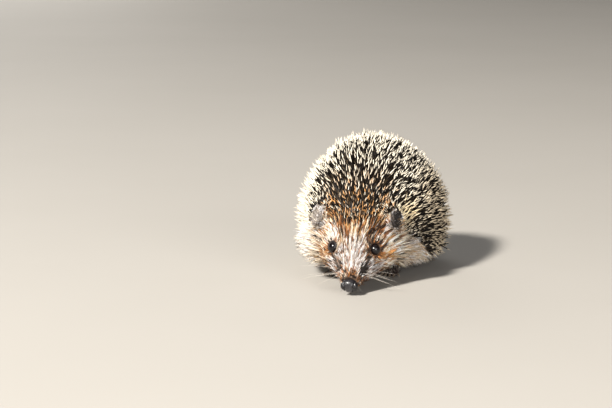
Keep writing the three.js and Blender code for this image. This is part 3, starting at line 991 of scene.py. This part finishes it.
def fur_length(points):
    """How long the hair is: short on muzzle, brow, feet and ears and round the eyes."""
    head = in_head(points)
    x, y, z = np.abs(head[:, 0]), head[:, 1], head[:, 2]
    length = 1.4 + 2.4 * ease(y, 5, 20) + 4.0 * ease(y, 22, 36)
    length = length + 1.6 * ease(y, 8, 16) * (1 - ease(z, -1, 5))
    length = length + 1.4 * ease(y, 26, 40) * (1 - ease(z, 2, 12))
    length = length - 2.2 * ease(y, 28, 34) * ease(z, 6, 11)
    length = length - 1.8 * ease(x, 23, 28) * (1 - ease(z, -3, 6))
    length = length + 1.8 * ease(y, 4, 10) * (1 - ease(z, -5, -1)) * (1 - ease(y, 14, 20))
    length = length * (0.25 + 0.75 * ease(from_eyes(points), 4.2, 10))
    behind = ease(y, 42, 60)
    under = 1 - ease(np.abs(points[:, 0]), 18, 30)
    length = length * (1 - behind) + (6.8 - 1.6 * under) * behind
    limb = limb_share(points)
    foot = 1 - ease(points[:, 2], 3, 9)
    length = length * (1 - limb) + (3.6 - 2.4 * foot) * limb
    length = length - 1.6 * share_in(["tail"], points, 1.0)
    on_ear = share_in(EARS, points, 0.8)
    at_base = 1 - ease(z, 12, 15.5)
    return length * (1 - on_ear) + (0.8 + 1.8 * at_base) * on_ear


fur_finish = Finish("fur", Specular_IOR_Level=0.4)
hair_colour = fur_finish.attribute("colour", "Color")
fleck = fur_finish.spread(fur_finish.noise(1900.0, 2.0), 0.3, 0.7, 0.82, 1.15)
fur_finish.feed(
    Base_Color=fur_finish.scaled(hair_colour, fleck),
    Roughness=fur_finish.spread(fur_finish.noise(700.0), 0.3, 0.7, 0.45, 0.7),
)

outer_head = in_head(outer)
limb = limb_share(outer)
on_ear = ears[:, 0]
foot = limb * (1 - ease(outer[:, 2], 2.5, 6))
furred = 1 - ease(mantle_share(outer, FUR_SETBACK), 0.35, 0.75)
furred = np.maximum(furred, on_ear)
furred = furred * ease(from_eyes(outer), 4.0, 4.6) * (1 - foot)
furred = furred * ease(from_nose(outer), 1.12, 1.2)
face = 1 - ease(outer_head[:, 1], 46, 52)
muzzle = 1 - ease(outer_head[:, 1], 17, 23)
under = 1 - ease(np.abs(outer[:, 0]), 17, 26)
leftward = outer[:, 0] > nose_tip[0] * 0.5
head_left = outer_head[:, 0] > 0
body = (1 - face) * (1 - limb) * (1 - on_ear)
front_head = face * (1 - muzzle) * (1 - on_ear)
# Long hairs stand further apart.
spread_out = np.maximum(fur_length(outer), 1.2) ** 0.6
# name, strands, where, radius, clumping, slot
COAT = [
    ("muzzle_fur", 12000, muzzle, 0.12, 0.6, "face_fur"),
    ("face_fur_left", 12300, front_head * head_left, 0.135, 0.85, "face_fur"),
    ("face_fur_right", 12300, front_head * ~head_left, 0.135, 0.85, "face_fur"),
    ("flank_fur_left", 9500, body * (1 - under) * leftward, 0.17, 0.8, "flank_fur"),
    ("flank_fur_right", 9500, body * (1 - under) * ~leftward, 0.17, 0.8, "flank_fur"),
    ("belly_fur", 7000, body * under, 0.19, 0.65, "flank_fur"),
    ("leg_fur", 6500, limb, 0.13, 0.4, "flank_fur"),
    ("ear_fur", 2600, on_ear * (0.35 + ear_rim(outer)), 0.075, 0.3, "ear_skin"),
]
# the share of strands that stand clear of the rest
WISPS = 0.07
# the share of strands that lead a lock, how many leaders are near enough to choose from,
# a lock's width for its length, and the share of strands with their leader's colour
LOCK_LEADERS = 0.16
LOCK_CHOICES = 22
LOCK_SQUEEZE = 0.2
SAME_COLOUR = 0.9
# Streaks run back from the nose and are this wide on a sphere of radius 1 round its tip.
STREAK_WIDTH = 0.02
STREAK_SCATTER = 0.75
# Brightness counts more in blue than in red, which makes dark hairs warm. On flanks and
# right cheek it is higher and varies less, which on the right cheek is painted sunlight,
# and the left cheek, turned from the sun, is lifted with painted light too.
BRIGHTEST = 1.2
PALEST = 0.97
WARM_SHADE = np.array((0.95, 1.12, 1.3))
CALMING = 0.66
LEFT_CHEEK = ((19.5, 31, -1), (11, 13, 12))
CHEEK_PAINTED_LIGHT = 0.75
# Each hair is darker towards its root and a little lighter at its tip: painted shade deep
# in the coat.
PAINTED_SHADE_UP_HAIR = np.array([0.3, 0.7, 1.0, 1.1])


def lock_of(roots, leaders, lie):
    """The leader whose lock each strand joins. Locks are long and narrow: a leader ahead
    or behind counts as nearer than one beside the strand."""
    tree = tree_of(roots["place"][leaders])
    near = [tree.find_n(place, LOCK_CHOICES) for place in roots["place"]]
    near = leaders[np.array([[index for _, index, _ in found] for found in near])]
    away = roots["place"][near] - roots["place"][:, None]
    ahead = (away * lie[:, None]).sum(axis=2)
    reach = (away**2).sum(axis=2) - (1 - LOCK_SQUEEZE**2) * ahead**2
    return near[np.arange(len(near)), reach.argmin(axis=1)]


for number, (name, amount, where, radius, clumping, slot) in enumerate(COAT):
    random = np.random.default_rng(100 + number)
    roots = scatter(random, amount, furred * where / spread_out)
    points = roots["outer"]
    head = in_head(points)
    wisp = random.random(amount) < WISPS
    length = fur_length(points) * random.uniform(0.7, 1.12, amount) * (1 + 0.25 * wisp)
    limb_here = limb_share(points)
    rise = coat_depth(points) * (1 - limb_here) + 0.9 * limb_here + 0.25
    lean = np.arccos(np.clip(rise * (1 + 0.5 * wisp) / length, 0.17, 0.8))
    lean = lean + random.normal(size=amount) * 0.1
    turn = 0.1 * swirl(points, 12, 7) + random.normal(size=amount) * 0.06
    behind = ease(head[:, 1], 36, 56)
    # Brighter, steadier fur behind the head and on the right cheek; on the cheek it is
    # painted sunlight.
    calm_and_sunlit = np.maximum(behind, ease(-head[:, 0], 21, 26))
    lie = lie_of_coat(roots, turn, 0.1 + 0.3 * behind)
    hanging = lie_of_coat(roots, turn, 0.1 + 0.9 * behind)
    start = leaning(roots["normal"], lie, lean - 0.2)
    end = leaning(roots["normal"], hanging, lean + 0.15 - 0.25 * wisp)
    middles = paths(roots, start, end, length, FUR_TIMES)
    leaders = np.flatnonzero(random.random(amount) < LOCK_LEADERS)
    leader = lock_of(roots, leaders, lie)
    drawn = (middles[leader, -1] - middles[:, -1])[:, None]
    drawn = drawn - 0.9 * (drawn * end[:, None]).sum(axis=2, keepdims=True) * end[:, None]
    drawn = drawn * clumping * random.uniform(0.5, 1.0, (amount, 1, 1))
    drawn = drawn * (1 - 0.8 * wisp)[:, None, None]
    middles = middles + drawn * (FUR_TIMES**2)[None, :, None]
    shares = markings(points)
    luck = swirl(unit(points - nose_tip), STREAK_WIDTH, 9)
    luck = luck + random.normal(size=amount) * STREAK_SCATTER
    luck = luck.argsort().argsort() / amount
    pick = (shares.cumsum(axis=1) < luck[:, None] * 0.999).sum(axis=1)
    pick = np.where(random.random(amount) < SAME_COLOUR, pick[leader], pick)
    own = FUR_COLOURS[np.minimum(pick, len(FUR_COLOURS) - 1)]
    mean = shares @ FUR_COLOURS
    bright = 0.5 * random.uniform(0, 1, (amount, 1)) + 0.5 * (1 - luck[:, None])
    bright = 0.06 + 1.2 * bright + CALMING * (1 - bright) * calm_and_sunlit[:, None]
    # The left cheek, turned from the sun, is made brighter: painted light.
    cheek = blob(head, *LEFT_CHEEK)[:, None]
    bright = (0.3 * bright + 0.7 * bright[leader]) * (1 + CHEEK_PAINTED_LIGHT * cheek) / BRIGHTEST
    colour = (0.92 * own + 0.08 * mean) * BRIGHTEST * bright**WARM_SHADE
    colour = np.minimum(colour[:, None] * PAINTED_SHADE_UP_HAIR[:, None], PALEST)
    piece = strands(
        name,
        middles,
        radius * random.uniform(0.75, 1.2, amount),
        FUR_WIDTHS,
        roots,
        FUR_SIDES,
        FUR_PATCH,
    )
    paint(piece, amount, FUR_TIMES, FUR_SIDES, colour)
    piece.data.materials.append(fur_finish.material)

# ---------------------------------------------------------------- whiskers
# Long, thin, springy hairs that stand out of the dark pads beside the nose, with a few over
# the eyes and under the chin; some are pale and some are dark.
WHISKER_TIMES = np.array([0, 0.25, 0.5, 0.75, 1.0])
WHISKER_WIDTHS = (1.0, 0.85, 0.65, 0.4)
WHISKER_RADIUS = (0.045, 0.065)
WHISKER_SIDES = 4
WHISKER_DARK = (0.03, 0.02, 0.015)
WHISKER_PALE = (0.72, 0.66, 0.58)
# where in the head's frame, reach of the patch, whiskers, length, how far they stand out
WHISKER_PATCHES = [
    ((7.2, 12, 2.0), (3.4, 5.5, 4.0), 8, (16, 28), 0.95),
    ((9.5, 33, 13), (2.5, 2.5, 2.5), 3, (9, 13), 1.0),
    ((4.0, 9, -4.5), (3.0, 5.0, 3.0), 4, (6, 10), 0.9),
]

random = np.random.default_rng(70)
tufts = []
for side in (1, -1):
    for middle, reach, amount, lengths, standing in WHISKER_PATCHES:
        spot = blob(outer_head, np.array(middle) * (side, 1, 1), reach, 0.5)
        roots = scatter(random, amount, spot * (furred > 0.5) + 1e-9)
        fall = np.array((0, 0, -0.5)) * (middle[2] < 10)
        out = unit(
            roots["normal"] * standing
            + 0.75 * lie_of_coat(roots, random.normal(size=amount) * 0.3)
            + fall
        )
        sag = unit(out + 0.5 * unit(roots["outer"] - nose_tip) + 1.4 * fall)
        size = random.uniform(*lengths, amount)
        tufts.append((roots, paths(roots, out, sag, size, WHISKER_TIMES)))
roots = {key: np.concatenate([tuft[0][key] for tuft in tufts]) for key in roots}
middles = np.concatenate([tuft[1] for tuft in tufts])
amount = len(middles)
whiskers = strands(
    "whiskers",
    middles,
    random.uniform(*WHISKER_RADIUS, amount),
    WHISKER_WIDTHS,
    roots,
    WHISKER_SIDES,
    FUR_PATCH,
)
dark = random.random((amount, 1)) < 0.3
tone = np.where(dark, WHISKER_DARK, WHISKER_PALE)[:, None]
paint(whiskers, amount, WHISKER_TIMES, WHISKER_SIDES, tone)
whiskers.data.materials.append(fur_finish.material)

# ---------------------------------------------------------------- nose
# A moist black pad of pebbled bare skin. The nostrils open at its sides under rounded
# lobes, which a crease parts from its greyer middle, and a fine groove runs down to the
# lip. The middle's grey is partly paler skin and partly a painted reflection.
NOSTRIL_PLACE = (3.5, 0.7, -1.3)
NOSTRIL_RADIUS = 1.15
NOSTRIL_DEPTH = 1.6
SLIT_END = (4.9, 3.2, -1.9)
SLIT_DEPTH = 0.9
LOBE_HEIGHT = 0.7
CREASE_SIDE = 2.5
CREASE_DEPTH = 0.55
GROOVE_DEPTH = 0.35
NOSE_BLACK = np.array((0.009, 0.008, 0.010))
# The grey middle, fading towards the top, is partly paler skin and partly a painted
# reflection.
NOSE_GREY_AND_SHEEN = np.array((0.066, 0.062, 0.066))

bpy.ops.mesh.primitive_uv_sphere_add(segments=128, ring_count=96, radius=MM)
nose = bpy.context.object
nose.name = "nose_pad"
ball = points_of(nose.data)
boxy = np.sign(ball) * np.abs(ball) ** 0.86
shape = boxy / np.maximum(np.linalg.norm(boxy, axis=1)[:, None] ** 0.6, 1e-6)
shape = shape * NOSE_SIZE + NOSE_MIDDLE
outwards = unit(ball / NOSE_SIZE)
x, y, z = np.abs(shape[:, 0]), shape[:, 1], shape[:, 2]
mirrored = np.column_stack([x, y, z])
slit = np.array(SLIT_END) - NOSTRIL_PLACE
share = np.clip((mirrored - NOSTRIL_PLACE) @ slit / (slit @ slit), 0, 1)
from_slit = np.linalg.norm(mirrored - NOSTRIL_PLACE - share[:, None] * slit, axis=1)
from_nostril = np.linalg.norm(mirrored - NOSTRIL_PLACE, axis=1)
hollow = NOSTRIL_DEPTH * (1 - ease(from_nostril, 0.4, NOSTRIL_RADIUS))
hollow = np.maximum(hollow, SLIT_DEPTH * (1 - ease(from_slit, 0.15, 0.7)))
lobe = LOBE_HEIGHT * blob(mirrored, (3.9, 1.9, 0.9), (2.2, 3.4, 2.9), 0.15)
in_front = 1 - ease(y, 2.5, 5.0)
crease = CREASE_DEPTH * (1 - ease(np.abs(x - CREASE_SIDE - 0.12 * z), 0.1, 0.75))
crease = crease * in_front * (1 - ease(z, 3.0, 4.6))
groove = GROOVE_DEPTH * (1 - ease(x, 0.05, 0.5)) * (1 - ease(z, -2.5, -0.5)) * in_front
grey_and_sheen = (1 - ease(x, 1.2, 2.8)) * in_front * ease(z, -3.4, -1.5)
shape = shape + outwards * (lobe - hollow - crease - groove)[:, None]
move_points(nose.data, from_head(shape))
bpy.ops.object.shade_smooth()
grey_and_sheen = (grey_and_sheen * (1 - 0.75 * ease(z, -0.5, 3.2)))[:, None]
colour_attribute(nose.data, NOSE_BLACK * (1 - grey_and_sheen) + NOSE_GREY_AND_SHEEN * grey_and_sheen)
nose_finish = Finish("nose_skin", Coat_Roughness=0.15, Specular_IOR_Level=0.4)
pebbles = nose_finish.node(
    "ShaderNodeTexVoronoi",
    {"Vector": nose_finish.place(), "Scale": 1700.0},
    feature="SMOOTH_F1",
)
damp = nose_finish.noise(500.0)
worn = nose_finish.spread(pebbles, 0.1, 0.5, 1.4, 0.45)
nose_finish.feed(
    Base_Color=nose_finish.scaled(nose_finish.attribute("colour", "Color"), worn),
    Roughness=nose_finish.spread(damp, 0.3, 0.7, 0.26, 0.42),
    Coat_Weight=nose_finish.spread(damp, 0.3, 0.7, 0.3, 0.1),
    Normal=nose_finish.bump(pebbles, 0.5, 0.0003),
)
nose.data.materials.append(nose_finish.material)
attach(nose, "root")
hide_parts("nose")

# ---------------------------------------------------------------- claws
# Five slim, slightly curved claws on each foot, of smooth brown horn with paler streaks.
CLAWS = [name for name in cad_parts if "claw_" in name]

copies = [copy_of(node) for node in CLAWS]
claws = copies[-1]
join_into(claws, copies)
claws.name = "claws"
claws.data.name = "claws"
claws.data.materials.clear()
weld(claws.data)
rounded = claws.modifiers.new("rounded", "SUBSURF")
rounded.levels = rounded.render_levels = 2
bpy.ops.object.modifier_apply(modifier=rounded.name)
bpy.ops.object.shade_smooth()
claw_finish = Finish("claw_horn")
streaks = claw_finish.noise(1400.0)
claw_finish.feed(
    Base_Color=claw_finish.mix(streaks, (0.10, 0.07, 0.05), (0.30, 0.24, 0.18)),
    Roughness=claw_finish.spread(streaks, 0.3, 0.7, 0.3, 0.5),
)
claws.data.materials.append(claw_finish.material)
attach(claws, "root")
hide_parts(*CLAWS)
